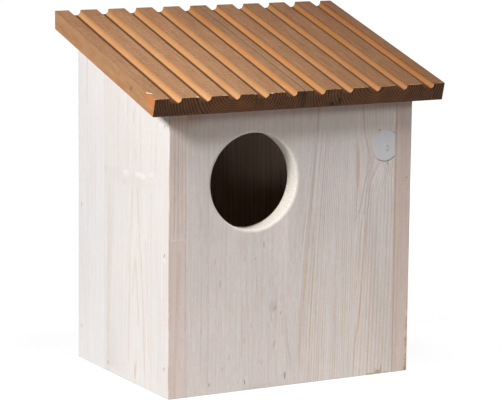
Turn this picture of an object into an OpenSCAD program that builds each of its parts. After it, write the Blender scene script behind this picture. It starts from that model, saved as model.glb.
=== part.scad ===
// Squirrel house: a nest box of edge-glued spruce panels under a grooved, single-pitch board roof.
//
// Millimetres. The origin is the centre of the base footprint, on the ground. +Z is up, the front
// with the entrance faces -Y, and +X is to the right for someone who looks at the front. The side
// panels run from front to back, and the front, back and floor panels sit between them. Each panel
// is glued up from upright staves, and the long outer staves are finger-jointed from two lengths.

/* [Body] */
// Width over the two side panels
body_w = 258; // [240:1:300]
// Depth from the front face to the back face
body_d = 193; // [175:1:260]
// Height of the front face, up to the underside of the roof
front_h = 267.5; // [262:0.5:360]
// Thickness of the front, back and side panels
wall = 18; // [14:0.5:20]
// Thickness of the floor
floor_t = 18; // [14:0.5:24]

/* [Roof] */
// Slope of the roof, in degrees
pitch = 16; // [8:0.5:25]
// Thickness of the roof boards
roof_t = 17; // [12:0.5:24]
// How far the roof reaches past each side panel
side_overhang = 24; // [10:0.5:40]
// How far the roof reaches past the front face, along its slope
front_overhang = 15; // [5:0.5:40]
// Distance from one groove to the next
groove_step = 29.7; // [24:0.1:36]
// Width of a groove at its mouth
groove_w = 12; // [8:0.5:14]
// Depth of a groove
groove_depth = 4.8; // [3:0.1:7]
// Radius in the bottom corners of a groove
groove_round = 4.2; // [1:0.1:6]
// Distance from the left edge of the roof to its first groove
groove_margin = 14.6; // [8:0.1:20]
// Least width left to the right of the last groove
last_ridge = 8; // [5:0.5:14]

/* [Entrance] */
// Diameter of the entrance hole
hole_d = 90; // [60:1:100]
// Distance from the outer left face to the middle of the hole
hole_from_left = 88; // [76:1:110]
// Height of the middle of the hole
hole_height = 196; // [120:1:200]
// Radius that rounds over the hole's outer edge
hole_round = 3; // [0.5:0.5:4]

/* [Knot plug] */
// Diameter of the wooden plug that fills a knot hole
plug_d = 30; // [20:1:35]
// Distance from the right edge of the front panel to the middle of the plug
plug_from_edge = 10.6; // [8:0.1:18]
// Height of the middle of the plug
plug_height = 220.6; // [150:0.1:235]
// Depth of the plug
plug_depth = 8; // [5:0.5:11]
// Gap all round the plug
plug_gap = 0.2; // [0.05:0.05:0.4]

/* [Staves] */
// Width of a full stave in the front, back and floor panels
stave_w = 59.7; // [50:0.1:62]
// Width of the rearmost stave of a side panel
side_rear_stave_w = 58; // [40:1:70]
// Width of the foremost stave of a side panel
side_front_stave_w = 15; // [12:1:25]
// Width of the narrow first stave of the back panel
back_first_stave_w = 17; // [15:1:20]
// Height of the finger joint in a side panel's wide stave
wide_joint_height = 189; // [150:1:210]
// Height of the finger joint in the left panel's foremost stave
front_joint_height = 147; // [136:1:170]
// Length of the fingers
finger_len = 10; // [6:0.5:12]
// Width of a finger and its gap
finger_step = 3.8; // [3:0.1:6]
// Width of a finger's blunt tip
finger_tip = 0.5; // [0.3:0.1:0.8]

/* [Brads and staples] */
// Length of a brad or staple leg
brad_len = 30; // [26:1:36]
// Thickness of the wire
brad_wire = 1.2; // [0.8:0.1:1.6]
// Height of a brad's head
brad_head = 2.4; // [1.8:0.1:3]
// Thickness of a brad's head, and of a staple's crown
brad_head_t = 0.8; // [0.6:0.1:1.2]
// Height of a staple's crown
staple_crown = 7; // [5:0.5:9]
// How deep each head is driven below the surface
set_depth = 0.6; // [0.3:0.1:1]
// Gap between a brad and the wood around it
brad_gap = 0.05; // [0.05:0.05:0.1]
// Heights of the brads along the front edge of a side panel
low_front_brad = 27; // [24:1:40]
mid_front_brad = 132; // [110:1:134]
high_front_brad = 250; // [220:1:256]
// Heights of the brads along the back edge of a side panel
low_back_brad = 33; // [26:1:45]
mid_back_brad = 153; // [130:1:170]
high_back_brad = 272; // [240:1:280]
// Distance from the back face to the brad that holds the floor's side edge
floor_brad_from_back = 67; // [40:1:90]
// Distances from the outer left face to the brads under the front and back panels
floor_brad_a = 42.4; // [40:0.1:60]
floor_brad_b = 79.6; // [70:0.1:95]
// Distance from the outer left face to the staple under the front panel
floor_staple = 122.6; // [110:0.1:150]

/* [Hidden] */
$fn = 64;
past = 1;                                    // how far a cutter runs past what it cuts
left = -body_w / 2;
right = body_w / 2;
front = -body_d / 2;
back = body_d / 2;
inner_left = left + wall;
inner_right = right - wall;
inner_front = front + wall;
inner_back = back - wall;
wall_mid = wall / 2;
roof_w = body_w + 2 * side_overhang;
slope_len = body_d / cos(pitch);             // underside of the roof, from front face to back face
groove_count = 1 + floor((roof_w - groove_margin - groove_w - last_ridge) / groove_step);
left_grooves = floor(groove_count / 2);      // grooves in the left roof board
board_joint = groove_margin + left_grooves * groove_step - (groove_step - groove_w) / 2;
groove_r = min(groove_round, groove_depth, groove_w / 2);
hole_x = left + hole_from_left;
plug_x = inner_right - plug_from_edge;
front_joints = [for (i = [0:3]) inner_left + i * stave_w];
back_joints = [for (i = [0:3]) inner_left + back_first_stave_w + i * stave_w];
floor_joints = [for (i = [0:2]) inner_front + i * stave_w];
side_rear_joint = back - side_rear_stave_w;
side_front_joint = front + side_front_stave_w;
front_edge_brads = [low_front_brad, mid_front_brad, high_front_brad];
back_edge_brads = [low_back_brad, mid_back_brad, high_back_brad];
floor_edge_brads = [left + floor_brad_a, left + floor_brad_b];
staple_x = left + floor_staple;
floor_mid = floor_t / 2;

glaze = "#d8cec8";
glaze_warm = "#d6c7bd";
bare_wood = "#b98d62";
roof_left_brown = "#a8774d";
roof_right_brown = "#a06a45";
steel = "#8f8a84";

// ---- Shared geometry ----

// Height of the roof's underside above a place between front and back
function roof_z(y) = front_h + (y - front) * tan(pitch);

// Zigzag line of a finger joint from y0 to y1, with its roots at height z
function finger_line(y0, y1, z) =
    let (count = max(1, round((y1 - y0) / finger_step)), step = (y1 - y0) / count)
    concat(
        [[y0, z]],
        [for (i = [0:count - 1], p = [
            [(i + 0.5) * step - finger_tip / 2, finger_len],
            [(i + 0.5) * step + finger_tip / 2, finger_len],
            [(i + 1) * step - finger_tip / 2, 0],
            [(i + 1) * step + (i < count - 1 ? finger_tip / 2 : 0), 0]
        ]) [y0 + p[0], z + p[1]]]
    );

function reversed(points) = [for (i = [len(points) - 1:-1:0]) points[i]];

// Stands a (y, z) outline up and runs it from x0 to x1
module along_x(x0, x1)
    translate([x0, 0, 0]) rotate([90, 0, 90]) linear_extrude(x1 - x0) children();

// Frame that lies on the underside of the roof: X from its left edge, Y up the slope from the
// front face, Z through the thickness
module on_roof()
    translate([left - side_overhang, front, front_h]) rotate([pitch, 0, 0]) children();

// ---- Brads and staples, which point along -Z from a head that is set below the face z = 0 ----

module nail_leg(gap = 0)
    translate([-brad_wire / 2 - gap, -brad_wire / 2 - gap, -set_depth - brad_len - gap])
        cube([brad_wire + 2 * gap, brad_wire + 2 * gap, brad_len + gap]);

// The head of a brad or the crown of a staple, and with rise the pocket over it
module nail_head(height, gap = 0, rise = 0)
    translate([-brad_wire / 2 - gap, -height / 2 - gap, -set_depth - brad_head_t])
        cube([brad_wire + 2 * gap, height + 2 * gap, brad_head_t + rise]);

module brad() {
    nail_head(brad_head);
    nail_leg();
}

module brad_pocket() {
    nail_head(brad_head, brad_gap, set_depth + past);
    nail_leg(brad_gap);
}

module at_staple_legs()
    for (side = [-1, 1])
        translate([0, side * (staple_crown - brad_wire) / 2, 0]) children();

module staple() {
    nail_head(staple_crown);
    at_staple_legs() nail_leg();
}

module staple_pocket() {
    nail_head(staple_crown, brad_gap, set_depth + past);
    at_staple_legs() nail_leg(brad_gap);
}

// Places on a face: the child's Z points out of the face, and its Y is up
module on_left_face(y, z) translate([left, y, z]) rotate([90, 0, -90]) children();
module on_right_face(y, z) translate([right, y, z]) rotate([90, 0, 90]) children();
module on_front_face(x, z) translate([x, front, z]) rotate([90, 0, 0]) children();
module on_back_face(x, z) translate([x, back, z]) rotate([90, 0, 180]) children();

module at_left_brads() {
    for (z = front_edge_brads) on_left_face(front + wall_mid, z) children();
    for (z = back_edge_brads) on_left_face(back - wall_mid, z) children();
    on_left_face(back - floor_brad_from_back, floor_mid) children();
}

module at_right_brads() {
    for (z = front_edge_brads) on_right_face(front + wall_mid, z) children();
    for (z = back_edge_brads) on_right_face(back - wall_mid, z) children();
    on_right_face(back - floor_brad_from_back, floor_mid) children();
}

module at_front_brads() for (x = floor_edge_brads) on_front_face(x, floor_mid) children();
module at_back_brads() for (x = floor_edge_brads) on_back_face(x, floor_mid) children();

module nail_pockets() {
    at_left_brads() brad_pocket();
    at_right_brads() brad_pocket();
    at_front_brads() brad_pocket();
    at_back_brads() brad_pocket();
    on_front_face(staple_x, floor_mid) staple_pocket();
    on_back_face(staple_x, floor_mid) staple_pocket();
}

// ---- Front panel ----

module entrance_hole() {
    round_end = hole_d / 2 + hole_round;
    translate([hole_x, front, hole_height]) rotate([-90, 0, 0]) {
        translate([0, 0, -past]) cylinder(d = hole_d, h = wall + 2 * past);
        rotate_extrude() difference() {
            translate([0, -past]) square([round_end, hole_round + past]);
            translate([round_end, hole_round]) circle(hole_round);
        }
    }
}

module plug_shape(d, depth)
    translate([plug_x, front, plug_height]) rotate([-90, 0, 0]) cylinder(d = d, h = depth);

module front_stave(x0, x1)
    difference() {
        along_x(x0, x1)
            polygon([[front, 0], [inner_front, 0], [inner_front, roof_z(inner_front)],
                     [front, roof_z(front)]]);
        entrance_hole();
        translate([0, -past, 0]) plug_shape(plug_d + 2 * plug_gap, plug_depth + past);
        nail_pockets();
    }

module front_stave_1() color(glaze) front_stave(front_joints[0], front_joints[1]);
module front_stave_2() color(glaze) front_stave(front_joints[1], front_joints[2]);
module front_stave_3() color(glaze) front_stave(front_joints[2], front_joints[3]);
module front_stave_4() color(glaze) front_stave(front_joints[3], inner_right);

// The panel's edge cuts the plug off on its right
module front_knot_plug()
    color("#c9c6c6") intersection() {
        plug_shape(plug_d, plug_depth);
        translate([left, front - past, 0]) cube([inner_right - left, wall + past, front_h]);
    }

// ---- Side panels ----

// A stave from floor to roof, or one of the two lengths of a finger-jointed stave
module side_stave(x0, y0, y1, lower_joint, upper_joint) {
    bottom = is_undef(lower_joint) ? [[y0, 0], [y1, 0]] : finger_line(y0, y1, lower_joint);
    top = is_undef(upper_joint) ? [[y0, roof_z(y0)], [y1, roof_z(y1)]]
                                : finger_line(y0, y1, upper_joint);
    difference() {
        along_x(x0, x0 + wall) polygon(concat(bottom, reversed(top)));
        nail_pockets();
    }
}

module left_side_stave_1() color(glaze) side_stave(left, side_rear_joint, back);
module left_side_stave_2_lower()
    color(glaze_warm) side_stave(left, side_front_joint, side_rear_joint,
                                 upper_joint = wide_joint_height);
module left_side_stave_2_upper()
    color(glaze_warm) side_stave(left, side_front_joint, side_rear_joint,
                                 lower_joint = wide_joint_height);
module left_side_stave_3_lower()
    color(glaze_warm) side_stave(left, front, side_front_joint, upper_joint = front_joint_height);
module left_side_stave_3_upper()
    color(glaze) side_stave(left, front, side_front_joint, lower_joint = front_joint_height);

module right_side_stave_1() color(glaze) side_stave(inner_right, side_rear_joint, back);
module right_side_stave_2_lower()
    color(glaze) side_stave(inner_right, side_front_joint, side_rear_joint,
                            upper_joint = wide_joint_height);
module right_side_stave_2_upper()
    color(glaze) side_stave(inner_right, side_front_joint, side_rear_joint,
                            lower_joint = wide_joint_height);
module right_side_stave_3() color(glaze_warm) side_stave(inner_right, front, side_front_joint);

// ---- Back panel ----

module back_stave(x0, x1)
    difference() {
        along_x(x0, x1)
            polygon([[inner_back, 0], [back, 0], [back, roof_z(back)],
                     [inner_back, roof_z(inner_back)]]);
        nail_pockets();
    }

module back_stave_1() color(glaze) back_stave(inner_left, back_joints[0]);
module back_stave_2() color(glaze) back_stave(back_joints[0], back_joints[1]);
module back_stave_3() color(glaze) back_stave(back_joints[1], back_joints[2]);
module back_stave_4() color(glaze) back_stave(back_joints[2], back_joints[3]);
module back_stave_5() color(glaze) back_stave(back_joints[3], inner_right);

// ---- Floor, whose staves run from side to side ----

module floor_stave(y0, y1)
    difference() {
        translate([inner_left, y0, 0]) cube([inner_right - inner_left, y1 - y0, floor_t]);
        nail_pockets();
    }

module floor_stave_1() color(bare_wood) floor_stave(floor_joints[0], floor_joints[1]);
module floor_stave_2() color(bare_wood) floor_stave(floor_joints[1], floor_joints[2]);
module floor_stave_3() color(bare_wood) floor_stave(floor_joints[2], inner_back);

// ---- Roof ----

module groove_section() {
    floor_z = roof_t - groove_depth;
    for (x = [groove_r, groove_w - groove_r])
        translate([x, floor_z + groove_r]) circle(groove_r);
    translate([groove_r, floor_z]) square([groove_w - 2 * groove_r, groove_depth]);
    translate([0, floor_z + groove_r]) square([groove_w, groove_depth - groove_r + past]);
}

module groove(index)
    translate([groove_margin + index * groove_step, slope_len + roof_t, 0])
        rotate([90, 0, 0])
            linear_extrude(slope_len + roof_t + front_overhang + past) groove_section();

// The front end is cut square to the slope, and the back end is plumb with the back face
module roof_board(x0, x1, first_groove, last_groove)
    on_roof() difference() {
        along_x(x0, x1)
            polygon([[-front_overhang, 0], [slope_len, 0],
                     [slope_len + roof_t * tan(pitch), roof_t], [-front_overhang, roof_t]]);
        for (i = [first_groove:last_groove]) groove(i);
    }

module roof_board_left()
    color(roof_left_brown) roof_board(0, board_joint, 0, left_grooves - 1);
module roof_board_right()
    color(roof_right_brown) roof_board(board_joint, roof_w, left_grooves, groove_count - 1);

// ---- Brads and staples in place ----

module left_side_brads() color(steel) at_left_brads() brad();
module right_side_brads() color(steel) at_right_brads() brad();
module front_brads()
    color(steel) {
        at_front_brads() brad();
        on_front_face(staple_x, floor_mid) staple();
    }
module back_brads()
    color(steel) {
        at_back_brads() brad();
        on_back_face(staple_x, floor_mid) staple();
    }

front_stave_1();
front_stave_2();
front_stave_3();
front_stave_4();
front_knot_plug();
left_side_stave_1();
left_side_stave_2_lower();
left_side_stave_2_upper();
left_side_stave_3_lower();
left_side_stave_3_upper();
right_side_stave_1();
right_side_stave_2_lower();
right_side_stave_2_upper();
right_side_stave_3();
back_stave_1();
back_stave_2();
back_stave_3();
back_stave_4();
back_stave_5();
floor_stave_1();
floor_stave_2();
floor_stave_3();
roof_board_left();
roof_board_right();
left_side_brads();
right_side_brads();
front_brads();
back_brads();
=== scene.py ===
"""Looks of the squirrel house: glazed spruce panels under two grooved, heat-treated roof boards.

Blender works in metres. The house's sizes are in millimetres here, and MM turns them into metres.
The frame's origin is the middle of the base on the ground, with the front towards -Y and +Z up.
"""

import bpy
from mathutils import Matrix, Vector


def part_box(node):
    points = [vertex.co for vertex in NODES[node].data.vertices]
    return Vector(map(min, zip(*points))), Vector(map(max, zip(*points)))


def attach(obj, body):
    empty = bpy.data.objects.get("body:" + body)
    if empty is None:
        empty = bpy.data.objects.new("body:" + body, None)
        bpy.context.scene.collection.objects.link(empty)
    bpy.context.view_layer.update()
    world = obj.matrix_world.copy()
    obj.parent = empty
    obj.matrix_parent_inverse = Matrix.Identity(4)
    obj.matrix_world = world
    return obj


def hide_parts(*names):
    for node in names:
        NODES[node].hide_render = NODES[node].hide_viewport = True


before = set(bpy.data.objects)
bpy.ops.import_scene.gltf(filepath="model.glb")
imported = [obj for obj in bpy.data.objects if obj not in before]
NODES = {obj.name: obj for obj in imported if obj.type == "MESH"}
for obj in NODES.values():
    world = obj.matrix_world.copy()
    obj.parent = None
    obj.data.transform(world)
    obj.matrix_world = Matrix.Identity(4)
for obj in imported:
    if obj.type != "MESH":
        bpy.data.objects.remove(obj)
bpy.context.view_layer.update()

import copy
import math

import bmesh
import bpy
from mathutils import Matrix, Vector, noise

MM = 0.001

# ---- Places taken from the frame ----


def box_mm(node):
    low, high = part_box(node)
    return low / MM, high / MM


front_low, front_high = box_mm("front_stave_1")
side_low, side_high = box_mm("left_side_stave_1")
roof_low, roof_high = box_mm("roof_board_left")
plug_low, plug_high = box_mm("front_knot_plug")

LEFT = side_low.x
RIGHT = -LEFT
FRONT = front_low.y
BACK = side_high.y
DEPTH = BACK - FRONT
WALL = side_high.x - side_low.x
INNER_LEFT = LEFT + WALL
INNER_RIGHT = RIGHT - WALL
INNER_FRONT = FRONT + WALL
FLOOR_TOP = box_mm("floor_stave_1")[1].z

PITCH = math.atan((side_high.z - front_high.z) / (BACK - INNER_FRONT))
EAVE_Z = front_high.z - WALL * math.tan(PITCH)      # underside of the roof above the front face
ROOF_T = (roof_high.z - side_high.z) * math.cos(PITCH)
ROOF_LEFT = roof_low.x
ROOF_W = -2 * ROOF_LEFT
BOARD_JOINT = roof_high.x - roof_low.x              # width of the left roof board
FRONT_OVERHANG = (EAVE_Z - roof_low.z) / math.sin(PITCH)
SLOPE_LEN = DEPTH / math.cos(PITCH)

# ---- Sizes that the solids have too ----

GROOVE_STEP = 29.7
GROOVE_W = 12.0
GROOVE_DEPTH = 4.8
GROOVE_ROUND = 4.2
GROOVE_MARGIN = 14.6
LEFT_GROOVES = 5
ALL_GROOVES = 10

FINGER_LEN = 10.0
FINGER_STEP = 3.8

# The entrance's middle, from the front's left edge and from the base, and its radius
HOLE_U, HOLE_V, HOLE_R = 88, 196, 45.0

KNOT_R = 15.0                                       # the plug's radius, before the side cuts it off
KNOT_X = plug_low.x + KNOT_R
KNOT_U = KNOT_X - LEFT
KNOT_V = (plug_low.z + plug_high.z) / 2


def linear(r, g, b):
    """Linear colour from sRGB values of 0 to 255."""
    def one(c):
        c = c / 255
        return c / 12.92 if c <= 0.04045 else ((c + 0.055) / 1.055) ** 2.4
    return one(r), one(g), one(b)


# ---- Shader nodes ----

class Shader:
    """Adds nodes to the tree of a material or world, and joins them up."""

    def __init__(self, owner):
        owner.use_nodes = True
        self.owner = owner
        self.tree = owner.node_tree
        self.tree.nodes.clear()

    def node(self, kind, inputs=(), **settings):
        """A new node, whose inputs take the values in order, or by name or number."""
        made = self.tree.nodes.new(kind)
        for key, value in settings.items():
            setattr(made, key, value)
        if not isinstance(inputs, dict):
            inputs = dict(enumerate(inputs))
        for key, value in inputs.items():
            socket = made.inputs[key]
            if isinstance(value, bpy.types.NodeSocket):
                self.tree.links.new(value, socket)
            elif socket.type == "RGBA":
                socket.default_value = (*value, 1)
            else:
                socket.default_value = value
        return made

    def math(self, operation, *values):
        return self.node("ShaderNodeMath", values, operation=operation).outputs[0]

    def times(self, first, *others):
        """Product of all the values."""
        for value in others:
            first = self.math("MULTIPLY", first, value)
        return first

    def times_plus(self, a, b, c):
        """Product of a and b, plus c."""
        return self.math("MULTIPLY_ADD", a, b, c)

    def minus(self, a, b):
        return self.math("SUBTRACT", a, b)

    def over(self, a, b):
        return self.math("DIVIDE", a, b)

    def away(self, value, middle):
        """Distance of a value from a middle."""
        return self.math("ABSOLUTE", self.minus(value, middle))

    def sway(self, value, amount, middle=1.0):
        """The middle, moved by the amount times a noise's distance from 0.5."""
        return self.times_plus(self.minus(value, 0.5), amount, middle)

    def bell(self, reach):
        """Falls smoothly from 1 at a reach of 0 to about 0 at 2."""
        return self.math("EXPONENT", self.times(reach, reach, -1))

    def ramp(self, value, start, end, low=0.0, high=1.0, kind="SMOOTHSTEP"):
        """Runs from low to high as the value runs from start to end."""
        return self.node("ShaderNodeMapRange", (value, start, end, low, high),
                         interpolation_type=kind).outputs[0]

    def band(self, value, rise, fall):
        """1 between a rise and a fall, each given as its start and end, and 0 beyond them."""
        return self.times(self.ramp(value, *rise), self.ramp(value, *fall))

    def vector(self, x, y, z=0.0):
        return self.node("ShaderNodeCombineXYZ", (x, y, z)).outputs[0]

    def split(self, vector):
        return self.node("ShaderNodeSeparateXYZ", (vector,)).outputs

    def vector_math(self, operation, *values, output="Vector"):
        return self.node("ShaderNodeVectorMath", values, operation=operation).outputs[output]

    def length(self, vector):
        return self.vector_math("LENGTH", vector, output="Value")

    def scale(self, vector, value):
        inputs = {0: vector, "Scale": value}
        return self.node("ShaderNodeVectorMath", inputs, operation="SCALE").outputs[0]

    def place_mm(self):
        return self.scale(self.node("ShaderNodeTexCoord").outputs["Object"], 1 / MM)

    def noise(self, vector, detail=2.0):
        """Noise of period 1, between 0 and 1 with its middle near 0.5."""
        inputs = {"Vector": vector, "Scale": 1, "Detail": detail}
        return self.node("ShaderNodeTexNoise", inputs).outputs["Fac"]

    def mix(self, factor, a, b):
        """Colour a, turned into colour b by the factor."""
        inputs = {0: factor, 6: a, 7: b}        # the node has other inputs for numbers and vectors
        return self.node("ShaderNodeMix", inputs, data_type="RGBA").outputs[2]

    def tint(self, colour, *rows):
        """Multiplies a colour by a factor where a mask is 1, for each (mask, factor) in turn."""
        for mask, factor in rows:
            colour = self.vector_math("MULTIPLY", colour, self.mix(mask, (1, 1, 1), factor))
        return colour

    def vary(self, colour, parts, start=1.0, green=1.0, blue=1.0):
        """Multiplies a colour by the sum of some variations, given as (value from 0 to 1,
        amount). Green and blue vary more than red by their powers."""
        total = start
        for value, amount in parts:
            total = self.sway(value, amount, total)
        factor = self.vector(total, self.math("POWER", total, green),
                             self.math("POWER", total, blue))
        return self.vector_math("MULTIPLY", colour, factor)

    def output(self, shader, kind="ShaderNodeOutputMaterial"):
        self.node(kind, shader.outputs[:1])

    def surface(self, colour, roughness, height, bump_mm, specular=0.35):
        """Joins colour, roughness and a height from 0 to 1 to the output, and gives the
        material."""
        bump = self.node("ShaderNodeBump", {"Strength": 1, "Distance": bump_mm * MM,
                                            "Height": height})
        self.output(self.node("ShaderNodeBsdfPrincipled", {
            "Base Color": colour, "Roughness": roughness, "Specular IOR Level": specular,
            "Normal": bump.outputs[0]}))
        return self.owner


# ---- Wood ----

class Board(Shader):
    """A new material with board coordinates in millimetres: u across the board, v along its
    grain, and w into it from its show face."""

    def __init__(self, name, axes):
        super().__init__(bpy.data.materials.new(name))
        self.place = self.place_mm()
        self.u, self.v, self.w = axes(self)

    def seen(self, u, v, w):
        """The same board with u, v and w changed about, as seen from another side."""
        side = copy.copy(self)
        side.u, side.v, side.w = u, v, w
        return side

    def streaks(self, wide, long, detail=2.0, seed=0.0):
        """Noise drawn out along the grain."""
        place = self.vector(self.times_plus(self.u, 1 / wide, seed),
                            self.times(self.v, 1 / long), self.times(self.w, 1 / wide))
        return self.noise(place, detail)

    def specks(self, size, detail=2.0):
        """Noise that is as long along the grain as across it."""
        return self.noise(self.scale(self.place, 1 / size), detail)

    def reach(self, u, v, half_u=1.0, half_v=1.0):
        """Distance from a middle, counted in its half width and half length."""
        return self.length(self.vector(self.over(self.minus(self.u, u), half_u),
                                       self.over(self.minus(self.v, v), half_v)))

    def spots(self, rows):
        """Greatest of some soft spots, given as rows of
        (u, v, half width, half length, strength, and if it leans the turn in degrees)."""
        place = self.vector(self.u, self.v)
        greatest = 0.0
        for u, v, half_u, half_v, strength, *turn in rows:
            offset = self.vector_math("SUBTRACT", place, (u, v, 0))
            if turn:
                inputs = {"Vector": offset, "Angle": math.radians(turn[0])}
                offset = self.node("ShaderNodeVectorRotate", inputs,
                                   rotation_type="Z_AXIS").outputs[0]
            shape = self.vector_math("MULTIPLY", offset, (1 / half_u, 1 / half_v, 0))
            spot = self.ramp(self.length(shape), 1.15, 0.45, 0, strength)
            greatest = self.math("MAXIMUM", greatest, spot)
        return greatest

    def ragged_spots(self, rows):
        """Spots that fine noise breaks up."""
        return self.times(self.spots(rows), self.ramp(self.streaks(0.9, 1.6), 0.4, 0.55))

    def line(self, points, half, strength):
        """Thin line along the grain, through points (u, v) given from the foot up."""
        foot, top = points[0][1], points[-1][1]
        left = min(u for u, v in points) - 1
        width = max(u for u, v in points) + 1 - left
        curve = self.node("ShaderNodeFloatCurve", {
            "Value": self.ramp(self.v, foot, top, kind="LINEAR")})
        knots = curve.mapping.curves[0].points
        while len(knots) < len(points):
            knots.new(0.5, 0.5)
        for knot, (u, v) in zip(knots, points):
            knot.location = ((v - foot) / (top - foot), (u - left) / width)
        curve.mapping.update()
        away = self.away(self.u, self.times_plus(curve.outputs[0], width, left))
        return self.times(self.ramp(away, half * 1.3, half * 0.4, 0, strength),
                          self.band(self.v, (foot - 3, foot + 6), (top + 3, top - 6)))

    def lines(self, rows):
        """Greatest of some lines, given as rows of (half width, strength, points)."""
        greatest = 0.0
        for half, strength, points in rows:
            greatest = self.math("MAXIMUM", greatest, self.line(points, half, strength))
        patchy = self.ramp(self.streaks(3, 14, 2, 7.7), 0.32, 0.5, 0.55, 1)
        return self.times(greatest, patchy)


def axes_from(origin, order, flip=(1, 1, 1)):
    """Board coordinates counted from an origin, each turned round where flip is -1. order says
    which of X, Y and Z are u, v and w."""
    def axes(b):
        offset = b.vector_math("SUBTRACT", b.place, origin)
        split = b.split(b.vector_math("MULTIPLY", offset, flip))
        return [split[letter] for letter in order]
    return axes


front_axes = axes_from((LEFT, FRONT, 0), "XZY")
back_axes = axes_from((RIGHT, BACK, 0), "XZY", (-1, -1, 1))
left_axes = axes_from((LEFT, BACK, 0), "YZX", (1, -1, 1))
right_axes = axes_from((RIGHT, BACK, 0), "YZX", (-1, -1, 1))
floor_axes = axes_from((0, INNER_FRONT, FLOOR_TOP), "YXZ", (1, 1, -1))


def roof_axes(b):
    """u from the roof's left edge, v up the slope from the front face, w down from the top."""
    x, y, z = axes_from((ROOF_LEFT, FRONT, EAVE_Z), "XYZ")(b)
    cos, sin = math.cos(PITCH), math.sin(PITCH)
    v = b.times_plus(y, cos, b.times(z, sin))
    w = b.times_plus(y, sin, b.times_plus(z, -cos, ROOF_T))
    return x, v, w


# Each kind of grain gives the ring phase on a board, which rises by 1 from ring to ring.

INWARD = 0.3       # how much nearly upright rings move across a board as they go into it


def straight_grain(spacing, lean=0.0, inward=INWARD):
    def grain(b):
        across = b.times_plus(b.v, -lean, b.u)
        return b.over(b.times_plus(b.w, inward, across), spacing)
    return grain


def arched_grain(middle, depth, taper, spacing):
    """Rings about a pith at this depth, which the face cuts into nested arches."""
    def grain(b):
        radius = b.length(b.vector(b.minus(b.u, middle), b.math("ADD", b.w, depth)))
        return b.over(b.times_plus(b.v, taper, radius), spacing)
    return grain


def end_grain(middle):
    """Flattened rings about a pith just above the top, which lie wider apart close to it."""
    above, flat, near, per_mm, fewer = 1.5, 1.35, 20, 0.53, 6.0

    def grain(b):
        side = b.over(b.minus(b.u, middle), flat)
        radius = b.length(b.vector(side, b.math("ADD", b.w, above)))
        inner = b.math("EXPONENT", b.over(radius, -near))
        return b.times_plus(radius, per_mm, b.times(inner, fewer))
    return grain


def leaning_grain(b):
    """Rings that lean ever more to the right as they rise, and close up from left to right."""
    start, spacing, closing, wide = 140.5, 2.5, 8, 2.0
    rise = b.times(b.v, b.times_plus(b.v, 0.00027, 0.02))
    share = b.ramp(b.u, 143, 197, 1, 0.12)
    across = b.minus(b.u, b.times(rise, share))
    deep = b.times_plus(b.w, INWARD, across)
    wider = b.math("EXPONENT", b.over(b.minus(start, deep), closing))
    return b.times_plus(deep, 1 / spacing, b.times(wider, wide))


def knotted_grain(b):
    """Leaning rings that are drawn in towards the plugged knot, and hook round below it."""
    spacing, pull, hook, straight_above = 4.1, 1.3, -8, 170.0
    drawn_in = b.times_plus(b.bell(b.reach(KNOT_U, KNOT_V - 10, 17, 24)), pull, 1)
    drawn = b.times_plus(b.minus(b.u, KNOT_U), drawn_in, KNOT_U)
    lean = b.ramp(b.u, 200, 218, -0.06, -0.03)
    across = b.times_plus(b.math("MINIMUM", b.v, straight_above), lean, drawn)
    hooked = b.times_plus(b.bell(b.reach(KNOT_U + 2, KNOT_V - 16, 13, 15)), hook, across)
    return b.over(b.times_plus(b.w, INWARD, hooked), spacing)


def rings(b, grain, waver, sharp, least=0.35):
    """Latewood from 0 to 1, which rises slowly and drops at once. It fades in places to the
    least share."""
    phase = b.sway(b.streaks(34, 260, 1), waver, grain(b))
    late = b.math("POWER", b.math("FRACT", phase), sharp)
    fade = b.ramp(b.streaks(7, 150, 1, 5.3), 0.36, 0.62, least, 1)
    return b.times(late, fade)


# A name with TINT is what a full mark of that kind multiplies a colour by.

BARE_LIGHT = linear(226, 203, 185)
BARE_DARK = linear(202, 175, 156)
BORE_WHITE = linear(231, 224, 214)
SIDE_GLAZE = linear(228, 222, 218)
FRONT_GLAZE = linear(230, 219, 214)

BORE_TINT = (0.98, 0.90, 0.72)
RING_TINT = (0.84, 0.77, 0.71)
WARM_TINT = (0.98, 0.91, 0.84)
LINE_TINT = (0.86, 0.76, 0.67)
DARK_TINT = (0.50, 0.46, 0.46)
PALE_AND_HIGHLIGHT_TINT = (1.12, 1.14, 1.16)
# Tint of knots, and of the painted shade spot under the roof's left front corner
KNOT_AND_SHADE_TINT = (0.78, 0.55, 0.36)
OCHRE_TINT = (0.66, 0.50, 0.20)
BEIGE_TINT = (0.84, 0.75, 0.61)
GREY_TINT = (0.73, 0.70, 0.68)
FINGER_TINT = (0.95, 0.93, 0.92)
ARRIS_TINT = (0.90, 0.76, 0.62)
# Painted shade under the eave on the front's top: the first from 224 mm up, the second from 250 mm
# up
NEAR_EAVE_SHADE_TINT = (0.96, 0.93, 0.885)
EAVE_SHADE_TINT = (0.90, 0.83, 0.83)

GLAZE_ROUGHNESS = 0.62
GLAZE_RELIEF = 0.12
BARE_ROUGHNESS = 0.68
BARE_RELIEF = 0.15


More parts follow.
